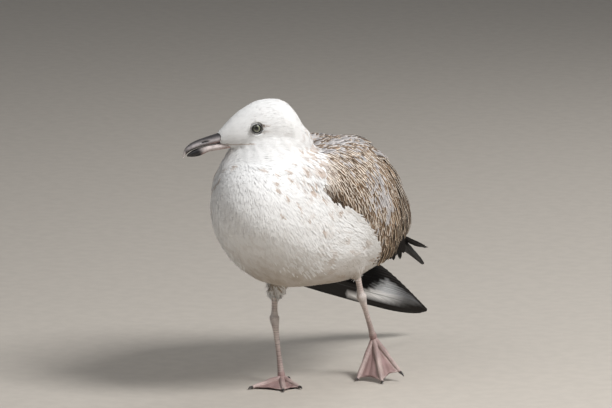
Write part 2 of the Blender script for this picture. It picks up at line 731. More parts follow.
class GullColours(PropertyGroup):
    white: colour_setting("White", "Head, breast and belly", (0.84, 0.835, 0.825))
    belly: colour_setting("Belly", "Shade of the belly's down", (0.33, 0.25, 0.165))
    fleck: colour_setting("Flecks", "Brown flecks on neck and sides", (0.38, 0.235, 0.14))
    dusk: colour_setting("Dusk", "Round the eye and along the gape", (0.11, 0.09, 0.075))
    mantle: colour_setting("Mantle", "New grey feathers of the back", (0.49, 0.46, 0.45))
    covert: colour_setting("Coverts", "Worn brown wing feathers", (0.29, 0.19, 0.115))
    bistre: colour_setting("Dark coverts", "Dark centres and front coverts", (0.045, 0.029, 0.020))
    fringe: colour_setting("Fringes", "Pale worn edges", (0.74, 0.66, 0.57))
    black: colour_setting("Flight feathers", "Outer wing and tail band", (0.0085, 0.0064, 0.0052))
    horn: colour_setting("Bill", "Dark horn of the bill", (0.043, 0.038, 0.039))
    bill_pale: colour_setting("Bill base", "Pale pinkish base and tip", (0.60, 0.545, 0.52))
    bill_pink: colour_setting("Bill pink", "Flesh of the bill's edges", (0.50, 0.31, 0.27))
    leg: colour_setting("Leg", "Pale pinkish grey skin", (0.74, 0.645, 0.59))
    leg_dusk: colour_setting("Leg shade", "Between plates and in folds", (0.22, 0.13, 0.115))
    web: colour_setting("Web", "Mauve pink of the webs", (0.33, 0.215, 0.205))
    iris: colour_setting("Iris", "Pale greenish straw", (0.20, 0.21, 0.145))
    iris_rim: colour_setting("Iris flecks", "Darker flecks of the iris", (0.10, 0.105, 0.07))


class GullStage(PropertyGroup):
    azimuth: FloatProperty(
        name="Azimuth", description="Camera's way round", default=VIEW_AZIMUTH, subtype="ANGLE"
    )
    elevation: FloatProperty(
        name="Elevation", description="Camera's height", default=VIEW_ELEVATION, subtype="ANGLE"
    )
    distance: FloatProperty(
        name="Distance", description="From gull to camera", default=VIEW_DISTANCE, unit="LENGTH"
    )
    floor: colour_setting("Floor", "Plain pale floor", (0.52, 0.475, 0.42))
    key: FloatProperty(name="Key light", description="Power of the main light", default=70.0)
    fill: FloatProperty(name="Sky", description="Strength of the light all round", default=0.18)


# ---- stage -----------------------------------------------------------------------------------
# Lamps: degrees round and up, metres away, metres across, and share of the key light's power.
LAMPS = {
    "key": (74, 45, 2.6, 0.9, 1.0),
    "front": (-8, 42, 3.0, 1.8, 0.19),
    "rim": (175, 42, 2.6, 1.0, 0.22),
}
LAMPS_AIM = Vector((0, 0, 0.15))
SKY = (0.93, 0.96, 1.0, 1)
SENSOR = 36  # millimetres
FLOOR_GAP = 0.0004  # metres from the floor up to the feet


class GULL_OT_stage(Operator):
    """Floor, soft lights and the camera"""

    bl_idname = "gull.stage"
    bl_label = "Stage"

    def execute(self, context):
        stage = context.scene.gull_stage
        self.floor(context, stage)
        for name, (azimuth, elevation, away, size, share) in LAMPS.items():
            lamp = bpy.data.lights.new(name, "AREA")
            lamp.energy, lamp.size = stage.key * share, size
            light = bpy.data.objects.new(name, lamp)
            back = to_camera(radians(azimuth), radians(elevation))
            light.location = back * away + LAMPS_AIM
            light.rotation_euler = (-back).to_track_quat("-Z", "Y").to_euler()
            context.scene.collection.objects.link(light)
        world = bpy.data.worlds.new("soft_sky")
        world.use_nodes = True
        sky = world.node_tree.nodes["Background"].inputs
        sky["Color"].default_value = SKY
        sky["Strength"].default_value = stage.fill
        context.scene.world = world
        context.scene.view_settings.view_transform = "Standard"
        self.camera(context, stage)
        return {"FINISHED"}

    def floor(self, context, stage):
        n = Nodes("floor_paper", roughness=0.9)
        grain = n.noise(n.place(), 60.0, 4.0)
        n.bump(grain, 0.05, 0.001)
        dark = tuple(0.94 * c for c in stage.floor)
        material = n.finish(n.mix(n.range(grain, 0.3, 0.7), tuple(stage.floor), dark))
        mesh = bpy.data.meshes.new("floor")
        shape = bmesh.new()
        bmesh.ops.create_grid(shape, x_segments=8, y_segments=8, size=30)
        shape.to_mesh(mesh)
        shape.free()
        mesh.materials.append(material)
        ground = bpy.data.objects.new("floor", mesh)
        ground.location.z = -FLOOR_GAP
        context.scene.collection.objects.link(ground)
        ground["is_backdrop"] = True

    def camera(self, context, stage):
        back, _, _, aim = view_axes(stage.azimuth, stage.elevation)
        camera = bpy.data.objects.new("camera", bpy.data.cameras.new("camera"))
        camera.data.sensor_width = SENSOR
        camera.data.lens = SENSOR * stage.distance / (PIXEL * PICTURE[0])
        camera.data.clip_end = 60
        camera.location = aim + back * stage.distance
        camera.rotation_euler = (-back).to_track_quat("-Z", "Y").to_euler()
        context.scene.collection.objects.link(camera)
        context.scene.camera = camera


# ---- skin ------------------------------------------------------------------------------------
SWELL = 0.45  # how far the solids are swollen so that they merge, and the skin is drawn in again
SMOOTHINGS = 28
HEAD_SMOOTHINGS = 5  # the head keeps its sharper form


class GULL_OT_skin(Operator):
    """One skin in place of the trunk, neck, head, thighs and wing shells"""

    bl_idname = "gull.skin"
    bl_label = "Skin"

    def execute(self, context):
        sizes, colours = context.scene.gull_sizes, context.scene.gull_colours
        mesh = self.remeshed(context, sizes.skin_voxel)
        points = read(mesh.vertices, "co", 3).astype(float) / MM - FRAME_SHIFT
        points = self.smoothed(points, read(mesh.edges, "vertices", 2, np.int32))
        self.write(mesh, points)
        normals = read(mesh.vertices, "normal", 3)
        points = points - normals * (coat_depth(points) + SWELL)[:, None]
        self.write(mesh, points)
        mesh.polygons.foreach_set("use_smooth", np.full(len(mesh.polygons), True))
        mesh.name = "skin"
        mesh.materials.clear()
        mesh.materials.append(skin_material())
        skin = bpy.data.objects.new("skin", mesh)
        context.scene.collection.objects.link(skin)
        self.unwrap(context, skin)
        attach(skin, "root")
        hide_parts(*FLESH)
        share = wing_covers(points)[:, None]
        tones = body_tones(points, colours) * (1 - share) + np.array(colours.covert) * 0.7 * share
        paint(skin, tone=tones)
        return {"FINISHED"}

    def remeshed(self, context, voxel):
        """One closed mesh round all the flesh solids."""
        blank = bmesh.new()
        for name in FLESH:
            blank.from_mesh(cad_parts[name].data)
        blank.normal_update()
        for vertex in blank.verts:
            vertex.co += vertex.normal * SWELL * MM
        mesh = bpy.data.meshes.new("skin_blank")
        blank.to_mesh(mesh)
        blank.free()
        rough = bpy.data.objects.new("skin_blank", mesh)
        context.scene.collection.objects.link(rough)
        modifier = rough.modifiers.new("one_skin", "REMESH")
        modifier.mode, modifier.voxel_size = "VOXEL", voxel
        made = bpy.data.meshes.new_from_object(
            rough.evaluated_get(context.evaluated_depsgraph_get())
        )
        bpy.data.objects.remove(rough)
        shape = bmesh.new()
        shape.from_mesh(made)
        keep = max(self.islands(shape), key=len)
        loose = [vertex for vertex in shape.verts if vertex not in keep]
        bmesh.ops.delete(shape, geom=loose, context="VERTS")
        shape.to_mesh(made)
        shape.free()
        return made

    def islands(self, shape):
        """Sets of vertices that hang together."""
        left = set(shape.verts)
        while left:
            found, front = set(), [left.pop()]
            while front:
                vertex = front.pop()
                found.add(vertex)
                for edge in vertex.link_edges:
                    other = edge.other_vert(vertex)
                    if other in left:
                        left.discard(other)
                        front.append(other)
            yield found

    def smoothed(self, points, edges):
        """The points drawn towards their neighbours, again and again."""
        a, b = edges.T
        count = np.bincount(np.concatenate([a, b]), minlength=len(points))[:, None]
        on_head = smoothstep(250, 275, points[:, 2])[:, None]
        for turn in range(SMOOTHINGS):
            pull = 1 - on_head if turn >= HEAD_SMOOTHINGS else 1
            total = np.stack(
                [
                    np.bincount(a, points[b, k], len(points))
                    + np.bincount(b, points[a, k], len(points))
                    for k in range(3)
                ],
                axis=1,
            )
            points = points + 0.5 * pull * (total / count - points)
        return points

    def write(self, mesh, points):
        placed = (points + FRAME_SHIFT) * MM
        mesh.vertices.foreach_set("co", placed.astype(np.float32).ravel())
        mesh.update()

    def unwrap(self, context, skin):
        context.view_layer.objects.active = skin
        bpy.ops.object.select_all(action="DESELECT")
        skin.select_set(True)
        bpy.ops.object.mode_set(mode="EDIT")
        bpy.ops.mesh.select_all(action="SELECT")
        bpy.ops.uv.smart_project(angle_limit=radians(66), island_margin=0.002)
        bpy.ops.object.mode_set(mode="OBJECT")
        skin.data.uv_layers[0].name = "OFBake"


# ---- eyes ------------------------------------------------------------------------------------
class GULL_OT_eyes(Operator):
    """Wet eyeballs and the rims of bare skin round them"""

    bl_idname = "gull.eyes"
    bl_label = "Eyes"

    def execute(self, context):
        colours = context.scene.gull_colours
        wet = eye_material(colours)
        rim = horn_material("eye_rim_skin", 0.75)
        for side, name in ((1, "left"), (-1, "right")):
            self.ball(side, name, wet)
            self.lids(side, name, rim, colours)
        return {"FINISHED"}

    def ball(self, side, name, material):
        """A ball whose poles lie on the eye's axis; points know how far out from it they are."""
        count, sides = 40, 64
        turn = np.linspace(0.02, pi - 0.02, count)[:, None]
        a = np.linspace(0, 2 * pi, sides, endpoint=False)[None]
        depth = side * (EYE["side"] + EYE["radius"] * np.cos(turn))
        wide = EYE["radius"] * np.sin(turn)
        rings = np.stack(
            [depth + 0 * a, wide * np.cos(a), EYE["up"] + wide * np.sin(a)], axis=-1
        )
        points = loft_points(rings)
        faces = loft_faces(count, sides)
        placed = in_head(points)
        eye = make_object(f"eyeball_{name}", placed, outward(placed, faces), material)
        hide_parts(f"eye_{name}")
        out = np.hypot(points[:, 1], points[:, 2] - EYE["up"])
        out[side * points[:, 0] < EYE["side"]] = 9  # the hidden half is all edge
        angle = np.arctan2(points[:, 2] - EYE["up"], points[:, 1])
        brow = smoothstep(0.0, 0.9, np.cos(angle - 0.9))
        paint(eye, out=out, spoke=np.cos(angle * 9) * 2 + np.cos(angle * 4), brow=brow)

    def lids(self, side, name, material, colours):
        """A soft rim that hugs the eyeball, drawn down a little over it from above."""
        count, sides = 96, 14
        a = np.linspace(0, 2 * pi, count, endpoint=False)[:, None]
        b = np.linspace(0, 2 * pi, sides, endpoint=False)[None]
        crease = 0.10 * np.sin(a * 26) + 0.06 * np.sin(a * 11 + 1)
        reach = 5.75 + 0.1 * np.cos(a) - 0.25 * np.maximum(np.sin(a), 0) ** 2
        out = reach + (1.35 + 0.3 * crease) * np.cos(b)
        r = EYE["radius"] + 0.12
        on_ball = np.sqrt(np.maximum(r * r - out * out, 0.5))
        depth = EYE["side"] + on_ball + (0.62 + crease) * np.sin(b) + 0.35
        rings = np.stack(
            [side * depth, out * np.cos(a) * 1.02, EYE["up"] + out * np.sin(a) * 0.94], axis=-1
        )
        ring, part = (x.ravel() for x in np.meshgrid(np.arange(count), np.arange(sides)))
        after, beside = (ring + 1) % count, (part + 1) % sides
        faces = np.stack(
            [ring * sides + part, after * sides + part, after * sides + beside,
             ring * sides + beside],
            axis=1,
        )
        if side < 0:
            faces = faces[:, ::-1]
        placed = in_head(rings.reshape(-1, 3))
        made = make_object(f"eye_rim_{name}", placed, faces, material)
        edge = out + 0.4 * np.sin(a) ** 2
        inner, outer = smoothstep(5.4, 4.8, edge)[..., None], smoothstep(5.1, 6.1, edge)[..., None]
        tone = np.array(colours.dusk) * (0.4 - 0.34 * inner)
        tone = tone * (1 - outer) + (np.array(colours.white) * 0.5 + 0.06) * outer
        paint(made, tone=np.broadcast_to(tone, rings.shape).reshape(-1, 3))


# ---- bill ------------------------------------------------------------------------------------
# Sections in the head's frame: place ahead of the eyes, top, bottom and half width.
UPPER_BILL = [
    (32, 3, -8.6, 6.4), (42, 2.4, -8, 5.8), (53, 1.6, -7.4, 4.9), (64, 0.4, -7.6, 4.3),
    (72, -2, -9, 3.6), (78, -6.2, -11.8, 2.5), (81.3, -12.6, -14.6, 0.7),
]
LOWER_BILL = [
    (30, -9, -16, 6), (42, -8.3, -15, 5.2), (53, -7.8, -14.4, 4.4), (63, -8, -16.2, 3.7),
    (70, -9.1, -15.8, 3), (76.5, -12, -14, 1),
]
NOSTRIL_AT = (55.5, -2.6)  # ahead and up
NEAR_BLACK = np.array((0.008, 0.007, 0.008))


def nostril_slit(ahead, up, half, high):
    """1 in the nostril's slit, which has that half length and height."""
    return np.exp(-(((ahead - NOSTRIL_AT[0]) / half) ** 4) - ((up - NOSTRIL_AT[1]) / high) ** 2)


class GULL_OT_bill(Operator):
    """Both halves of the bill, with slit nostrils, a cutting edge and a hooked tip"""

    bl_idname = "gull.bill"
    bl_label = "Bill"

    def execute(self, context):
        sizes, colours = context.scene.gull_sizes, context.scene.gull_colours
        horn = horn_material("bill_horn", 0.38, coat=0.25)
        self.half("upper", UPPER_BILL, horn, sizes, colours)
        self.half("lower", LOWER_BILL, horn, sizes, colours)
        return {"FINISHED"}

    def half(self, name, table, material, sizes, colours):
        count, sides = 110, 48
        ahead, top, low, wide = (x[:, None] for x in catmull(table, np.linspace(0, 1, count)).T)
        a = np.linspace(0, 2 * pi, sides, endpoint=False)[None]
        over, beside = np.sin(a), np.cos(a)
        upper = name == "upper"
        ridge = 1 - 0.22 * np.maximum(over if upper else -over, 0)
        across = wide * beside * ridge
        up = (top + low) / 2 + (top - low) / 2 * np.sign(over) * np.abs(over) ** 0.9
        ahead = np.broadcast_to(ahead, up.shape).copy()
        half = sizes.nostril / MM / 2
        if upper:
            groove = np.exp(-(((up + 3.2) / 1.6) ** 2)) * smoothstep(64, 44, ahead)
            inward = np.sign(beside) * (abs(beside) > 0.3)
            across = across - inward * 1.5 * nostril_slit(ahead, up, half, 0.75)
            across = across - inward * 0.35 * groove
        points = loft_points(np.stack([across, ahead, up], axis=-1))
        placed = in_head(points)
        faces = outward(placed, loft_faces(count, sides))
        made = make_object(f"bill_{name}_horn", placed, faces, material)
        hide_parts(f"bill_{name}")
        paint(made, tone=self.tones(points, upper, half, colours))

    def tones(self, points, upper, half, colours):
        """Dark horn with a pale streak, pink edges, a black ring and a pale tip."""
        left, ahead, up = points.T
        pale, pink = np.array(colours.bill_pale), np.array(colours.bill_pink)
        cloud = mottle(points, 3.2, 5)
        tones = Tones(colours.horn, len(points))
        tint = tones.tint
        if upper:
            droop = 0.14 * np.maximum(ahead - 58, 0)
            streak = np.exp(-(((up + 3.0 + droop) / 2.0) ** 2)) * smoothstep(82, 68, ahead)
            tint(streak * (0.62 + 0.5 * cloud), pale * (0.78, 0.78, 0.82))
            tint(0.5 * smoothstep(-4.2, -6.0, up + droop) * smoothstep(58, 44, ahead), pink)
            edge = NEAR_BLACK + (0.03, 0.008, 0.006)
            tint(0.95 * smoothstep(-5.7, -6.9, up + droop), edge)
            tint(1.1 * near(points, (0, 70, -10.5), (9, 8.5, 5)), NEAR_BLACK)
            tint(1.3 * nostril_slit(ahead, up, half, 0.85), NEAR_BLACK)
        else:
            tint(smoothstep(66, 52, ahead) * (0.8 + 0.3 * cloud), pale * (1.12, 1.08, 1.08))
            tint(0.8 * smoothstep(-12.6, -14.4, up) * smoothstep(68, 56, ahead), pink)
            tint(1.2 * near(points, (0, 67, -13), (9, 10, 7)), NEAR_BLACK)
        tint(smoothstep(76.6, 79.5, ahead) * 0.95, pale * 1.25)
        return tones.all


# ---- legs and feet ---------------------------------------------------------------------------
RIGHT_LEG = {
    "bare": (-35.2, 4.2, 90), "hock": (-35.3, 3.8, 71.5), "base": (-30, 10, 6.4),
    "toes": ((8.5, -15, 0.9), (-1, -39, 0.9), (-42, -43, 0.9)), "hind": (-24, 19, 3.4),
}
LEFT_LEG = {
    "bare": (44.6, 46.5, 112), "hock": (45.4, 52, 94.3), "base": (41.2, 88.3, 43),
    "toes": ((37, 54, 0.9), (71, 53, 0.9), (85, 75, 6)), "hind": (35, 95, 32),
}
SHANK = (3.6, 3.3, 4.1, 5.6, 4.0, 3.0, 2.9, 3.8)  # half widths from the bare skin down
TOE = (3.7, 2.9, 3.1, 2.4, 2.6, 1.7)
TOE_ARCH = (0, 1.1, 1.0, 0.5, 0.3, 0)
HIND_TOE = (2.4, 2.5, 1.6)
NAIL = (1.5, 1.7, 1.25, 0.25)
CLAW = 6.5  # a claw's length
TOUCH = 1.5  # height of the middle of a toe that touches the floor
TOE_PLATE = 1.9
HOCK_TONE = np.array((0.70, 0.67, 0.64))
CLAW_TONE = (0.045, 0.036, 0.034)


def limb(points, halves, count, sides, plate=0.0, depth=0.0, flat=1.0):
    """A limb through points, with plates across its front where plate is their height."""
    t = np.linspace(0, 1, count)
    line = catmull(points, t)
    along = unit(np.gradient(line, axis=0))
    wide = unit(np.array((1.0, 0, 0)) - along * along[:, :1])
    other = np.cross(along, wide)
    r = catmull(np.array(halves)[:, None], t)
    walked = np.concatenate([[0], np.cumsum(np.linalg.norm(np.diff(line, axis=0), axis=1))])
    a = np.linspace(0, 2 * pi, sides, endpoint=False)[None]
    reach = r + 0 * a
    if plate:
        step = np.abs((walked / plate) % 1 - 0.5)[:, None] * 2
        reach = r - depth * smoothstep(0.72, 1.0, step) * (0.35 + 0.65 * np.abs(np.sin(a)))
    rings = (
        line[:, None]
        + wide[:, None] * (reach * np.cos(a) * flat)[..., None]
        + other[:, None] * (reach * np.sin(a))[..., None]
    )
    return loft_points(rings), loft_faces(count, sides)


def web(base, one, two):
    """A thin web between two toes, with folds that run out from the foot."""
    rows, places = 16, 25
    v = np.linspace(0.08, 1, rows)[:, None]
    u = np.linspace(0, 1, places)[None]
    reach = v * (0.97 - 0.10 * np.sin(pi * u))
    edge = one + (two - one) * u[..., None]
    flat = base + (edge - base) * reach[..., None]
    normal = unit(np.cross(one - base, two - base))
    normal = normal * np.sign(normal[2])
    fold = 0.45 * np.sin(u * pi * 6 + 3 * v) * np.sin(pi * u) ** 0.5 * v
    thick = 0.38 + 0.25 * smoothstep(0.93, 1, v)
    top = flat + normal * (fold + thick)[..., None]
    under = flat + normal * (fold - thick)[..., None]
    top[..., 2] = np.maximum(top[..., 2], 0.5)
    under[..., 2] = np.maximum(under[..., 2], 0.05)
    return loft_points(np.concatenate([top, under[:, ::-1]], axis=1)), loft_faces(rows, 2 * places)


class GULL_OT_legs(Operator):
    """Plated legs with knobbed hocks, webbed feet and claws"""

    bl_idname = "gull.legs"
    bl_label = "Legs and feet"

    def execute(self, context):
        sizes, colours = context.scene.gull_sizes, context.scene.gull_colours
        scales = leg_material("leg_scales", colours)
        horn = horn_material("claw_horn", 0.3, coat=0.4)
        for side, plan in (("right", RIGHT_LEG), ("left", LEFT_LEG)):
            self.shank(side, plan, scales, sizes.scute / MM, colours)
            self.foot(side, plan, scales, horn, colours)
        return {"FINISHED"}

    def shank(self, side, plan, material, plate, colours):
        bare, hock, base = (np.array(plan[k], float) for k in ("bare", "hock", "base"))
        down = unit(base - hock)
        ankle = base - down * 5
        top = bare + (bare - hock) * 0.25
        route = [hock + (top - hock) * share for share in (1, 0.5, 0.18, 0)]
        route += [hock + (ankle - hock) * share for share in (0.16, 0.35, 0.75, 1)]
        points, faces = limb(route, SHANK, 170, 28, plate, 0.5, 0.95)
        made = make_object(f"leg_{side}", points, outward(points, faces), material)
        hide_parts(f"shank_{side}")
        pale = near(points, hock, 13)[:, None]
        pink = smoothstep(60, 12, points[:, 2] - (base[2] - 6))[:, None]
        leg, web_tone = np.array(colours.leg), np.array(colours.web)
        tone = leg * (1 - 0.5 * pink) + web_tone * 0.5 * pink
        tone = tone * (1 - 0.6 * pale) + HOCK_TONE * 0.6 * pale
        walked = np.linalg.norm(points - top, axis=1)
        groove = smoothstep(0.55, 1.0, np.abs((walked / plate) % 1 - 0.5) * 2)
        tone = tone * (1 - 0.45 * groove * (1 - pale[:, 0]))[:, None]
        paint(made, tone=tone * (0.86 + 0.24 * mottle(points, 5, 9))[:, None])

    def foot(self, side, plan, material, horn, colours):
        hock, base = np.array(plan["hock"], float), np.array(plan["base"], float)
        tips = np.array(plan["toes"], float)
        down = unit(base - hock)
        start = base + down * 2
        ends = tips + (base - tips) * (CLAW / np.linalg.norm(base - tips, axis=1))[:, None]
        ends[:, 2] = np.where(tips[:, 2] < TOUCH, TOUCH + 0.3, ends[:, 2])
        parts = [limb([base - down * 8, base - down * 2, start], (3.4, 4.2, 3.2), 20, 20)]
        for end in ends:
            line = start + np.linspace(0, 1, len(TOE))[:, None] * (end - start)
            line[:, 2] += TOE_ARCH
            parts.append(limb(line, TOE, 70, 16, TOE_PLATE, 0.30))
        parts += [web(start, ends[0], ends[1]), web(start, ends[1], ends[2])]
        hind = np.array(plan["hind"], float)
        hind_end = hind + (base - hind) * 0.35
        hind_line = [base, (base + hind_end) / 2, hind_end]
        parts.append(limb(hind_line, HIND_TOE, 24, 14, TOE_PLATE, 0.2))
        points, faces = joined(parts)
        points[:, 2] = np.maximum(points[:, 2], ABOVE_FLOOR)
        made = make_object(f"webbed_foot_{side}", points, faces, material)
        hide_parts(f"foot_{side}")
        flesh = np.array(colours.web) * (0.8 + 0.4 * mottle(points, 7, 4))[:, None]
        bony = np.zeros(len(points))
        for end in [*ends, hind_end, base - down * 12]:
            bone = end - start
            along = np.clip(((points - start) @ bone) / (bone @ bone), 0, 1)
            gap = np.linalg.norm(points - start - along[:, None] * bone, axis=1)
            bony = np.maximum(bony, smoothstep(4.6, 2.6, gap))
        tone = flesh * (1 - 0.45 * bony[:, None]) + np.array(colours.leg) * 0.45 * bony[:, None]
        paint(made, tone=tone)
        self.claws(side, [*ends, hind_end], [*tips, hind], horn)

    def claws(self, side, ends, tips, horn):
        nails = []
        for end, tip in zip(ends, tips):
            way = unit(tip - end)
            middle = end + (tip - end) * 0.55 + np.array((0, 0, 0.9))
            nails.append(limb([end - way * 1.2, end, middle, tip], NAIL, 24, 14))
        points, faces = joined(nails)
        points[:, 2] = np.maximum(points[:, 2], ABOVE_FLOOR)
        made = make_object(f"claws_{side}", points, faces, horn)
        names = [f"claw_{k}_{side}" for k in ("inner", "middle", "outer", "hind")]
        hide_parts(*names)
        paint(made, tone=np.repeat([CLAW_TONE], len(points), axis=0))


# ---- body coat -------------------------------------------------------------------------------
# Each stretch of the coat: spacing, length, half width, height of the root and of the tip.
COATS = {
    "face": (1.0, 3.8, 0.5, 0.1, 0.65),
    "crown": (1.2, 7.0, 0.75, 0.2, 1.6),
    "neck": (1.45, 12, 1.1, 0.6, 2.3),
    "shoulder": (2.2, 13, 2.0, 0.7, 3.2),
    "breast": (1.6, 14, 1.3, 0.6, 2.4),
    "belly_left": (1.6, 17, 1.4, 0.7, 3.0),
    "belly_right": (1.6, 17, 1.4, 0.7, 3.0),
    "back": (2.4, 17, 3.0, 0.8, 3.2),
    "thighs": (1.3, 12, 0.95, 0.2, 1.9),
}
WISPS = (0.10, 1.6)  # share of loose feathers on lower breast and flank, and how far they stand
THIGH_WISPS = (0.3, 3.5)  # the same all over the thighs


class GULL_OT_down(Operator):
    """The small feathers of head, neck, body and thighs"""

    bl_idname = "gull.down"
    bl_label = "Body coat"

    def execute(self, context):
        sizes, colours = context.scene.gull_sizes, context.scene.gull_colours
        surface, regions = surface_of("skin"), skin_regions()
        rng = np.random.default_rng(sizes.seed)
        down = down_material("white_down")
        tighter = 1 / max(sizes.coat_density, 0.05) ** 0.5
        for name, chosen in self.stretches(surface, regions).items():
            self.piece(name, surface, chosen, tighter, down, rng, colours)
        return {"FINISHED"}

    def stretches(self, surface, regions):
        """Which faces of the skin each stretch of the coat grows on."""
        c = surface.centres
        ahead = from_head(c)[:, 1]
        bare = ~wing_covers(c)
        head, neck, trunk, wing = (
            bare & np.isin(regions, [FLESH.index(k) for k in names])
            for names in (("head",), ("neck",), ("trunk",), ("wing_left", "wing_right"))
        )
        thigh = np.isin(regions, [FLESH.index("thigh_left"), FLESH.index("thigh_right")])
        side = np.sign(c[:, 0])
        shoulder = wing & ~on_wing(c[:, 1], round_trunk(c, side))
        trunk = trunk | (wing & ~shoulder)
        back = trunk & (surface.normals[:, 2] > 0.2) & (c[:, 1] > -40)
        breast = trunk & ~back & (c[:, 1] < -75)
        belly = trunk & ~back & ~breast
        return {
            "face": head & (ahead > 2),
            "crown": head & (ahead <= 2),
            "shoulder": shoulder,
            "neck": neck,
            "breast": breast,
            "belly_left": belly & (side > 0),
            "belly_right": belly & (side <= 0),
            "back": back,
            "thighs": thigh,
        }

    def piece(self, name, surface, chosen, tighter, material, rng, colours):
        spacing, length, half, root, tip = COATS[name]
        places, face, spots = scatter(surface, chosen, spacing * tighter, rng)
        normals = surface.normals[face]
        ways = lie_of_coat(places, normals)
        side = np.cross(normals, ways)
        ways = unit(ways + side * rng.normal(0, 0.11, (len(places), 1)))
        lengths = length * rng.uniform(0.75, 1.2, len(places))
        reached = places + ways * (lengths * 0.8)[:, None]
        lengths = np.where(wing_covers(reached) & (reached[:, 1] > 30), lengths * 0.4, lengths)
        widths = half * rng.uniform(0.75, 1.25, len(places))
        lift = rng.uniform(0.75, 1.12, len(places))
        on_thigh = name == "thighs"
        share, stand = THIGH_WISPS if on_thigh else WISPS
        loose = share * (1 if on_thigh else wispy(places))
        wisp = (rng.random(len(places)) < loose).astype(float)
        over = along_wing_edge(places)
        rise = [
            root * lift + over * 0.8,
            (root + (tip - root) * 0.65) * lift + over * 1.6,
            (tip + stand * wisp) * lift + over * 1.4,
        ]
        lines, ups, forwards = lay(surface, places, ways, lengths, (0, 0.55, 1), rise)
        points, faces, along, across, each, corners = vanes(
            lines, ups, forwards, widths, (0.5, 1.0, 0.3), TENT, 0.17
        )
        made = make_object(f"coat_{name}", points, faces, material, corners)
        shown = places + ways * (lengths * 0.6)[:, None]
        tones = body_tones(shown, colours) * rng.uniform(0.97, 1.02, (len(places), 1))
        tones = tones + (np.array(colours.white) - tones) * 0.8 * wisp[:, None]
        paint(
            made,
            tone=np.repeat(tones, each, axis=0),
            own=np.repeat(rng.random(len(places)) * 40, each),
            along=along,
            across=across,
        )
        set_bake_map(made, spots, each, along, across)


# ---- wings -----------------------------------------------------------------------------------
# Edges of each folded wing round the trunk: place along the bird, low and high angle.
WING_EDGES = {
    1: ((-100, 42, 52), (-74, 25, 62), (-63, 15, 65), (-41, 6, 70), (-23, -3, 75), (11, -19, 84),
        (31, -26, 86), (45, -33, 87), (56, -41, 88), (70, -47, 88), (100, -49, 88),
        (120, -51, 88), (155, -41, 88), (184, -8, 87), (199, 42, 84)),
    -1: ((-100, 28, 52), (-78, 8, 62), (-40, -12, 70), (0, -30, 82), (40, -44, 87),
         (80, -54, 88), (120, -56, 88), (155, -44, 88), (184, -6, 87), (199, 42, 84)),
}
TRUNK_MIDDLE = ((-148, 213), (-91, 206), (-48, 200), (0, 196), (48, 190), (92, 182), (132, 170),
                (166, 158), (206, 143))
DEGREE = 1.38  # millimetres of skin for each degree round the trunk


def trunk_centre(y):
    """Height of the trunk's middle at places along it."""
    return np.interp(y, *np.array(TRUNK_MIDDLE, float).T)


def wing_edges(side, y):
    """The low and the high angle of a wing's edges at places along the bird."""
    along, low, high = np.array(WING_EDGES[side], float).T
    return np.interp(y, along, low), np.interp(y, along, high)


def round_trunk(points, side):
    """Degrees round the trunk from its flank on that side, 90 at the top of the back."""
    high = points[:, 2] - trunk_centre(points[:, 1])
    return np.degrees(np.arctan2(high, side * points[:, 0]))


def wing_front(angle):
    """Where along the bird the shoulder's small feathers give way to the wing's."""
    return -42 - 0.95 * np.clip(65 - angle, 0, 38)


def on_wing(y, angle):
    return y > wing_front(angle)


def wing_covers(points):
    """Whether places on the skin lie under the ordered feathers of a wing."""
    y, found = points[:, 1], np.zeros(len(points), bool)
    for side in WING_EDGES:
        angle = round_trunk(points, side)
        low, high = wing_edges(side, y)
        within = (angle > low + 3) & (angle < high + 4) & (y < 190)
        found |= within & on_wing(y, angle) & (points[:, 0] * side > 0)
    return found


def along_wing_edge(points):
    """1 just below a wing's lower edge, where the flank's feathers lie over it."""
    y, total = points[:, 1], np.zeros(len(points))
    for side in WING_EDGES:
        gap = round_trunk(points, side) - wing_edges(side, y)[0]
        strip = smoothstep(-16, -4, gap) * (gap < 12) * smoothstep(-60, -30, y)
        strip = strip * smoothstep(55, 30, y)
        total += strip * (points[:, 0] * side > 0)
    return total


# Each tract of wing feathers: along from and to, angle from and to, how steeply its feathers
# point down, length, half width, steps along and across, heights of root and tip.
TRACTS = {
    "secondaries": (60, 190, -60, 60, 44, 60, 5.0, 16, 6.0, 0.2, 1.6),
    "greater": (10, 175, -60, 50, 50, 44, 3.0, 10, 3.5, 0.3, 2.6),
    "median": (-50, 110, -40, 58, 63, 26, 2.7, 7.5, 3.2, 0.5, 3.0),
    "lesser": (-90, 25, -30, 56, 72, 15, 2.3, 4.8, 3.0, 0.5, 2.8),
    "scapulars": (-60, 175, 40, 92, 14, 28, 3.8, 8, 4.6, 0.5, 2.5),
    "mantle": (-80, 60, 50, 92, 8, 17, 2.9, 5.2, 3.6, 0.5, 2.3),
}


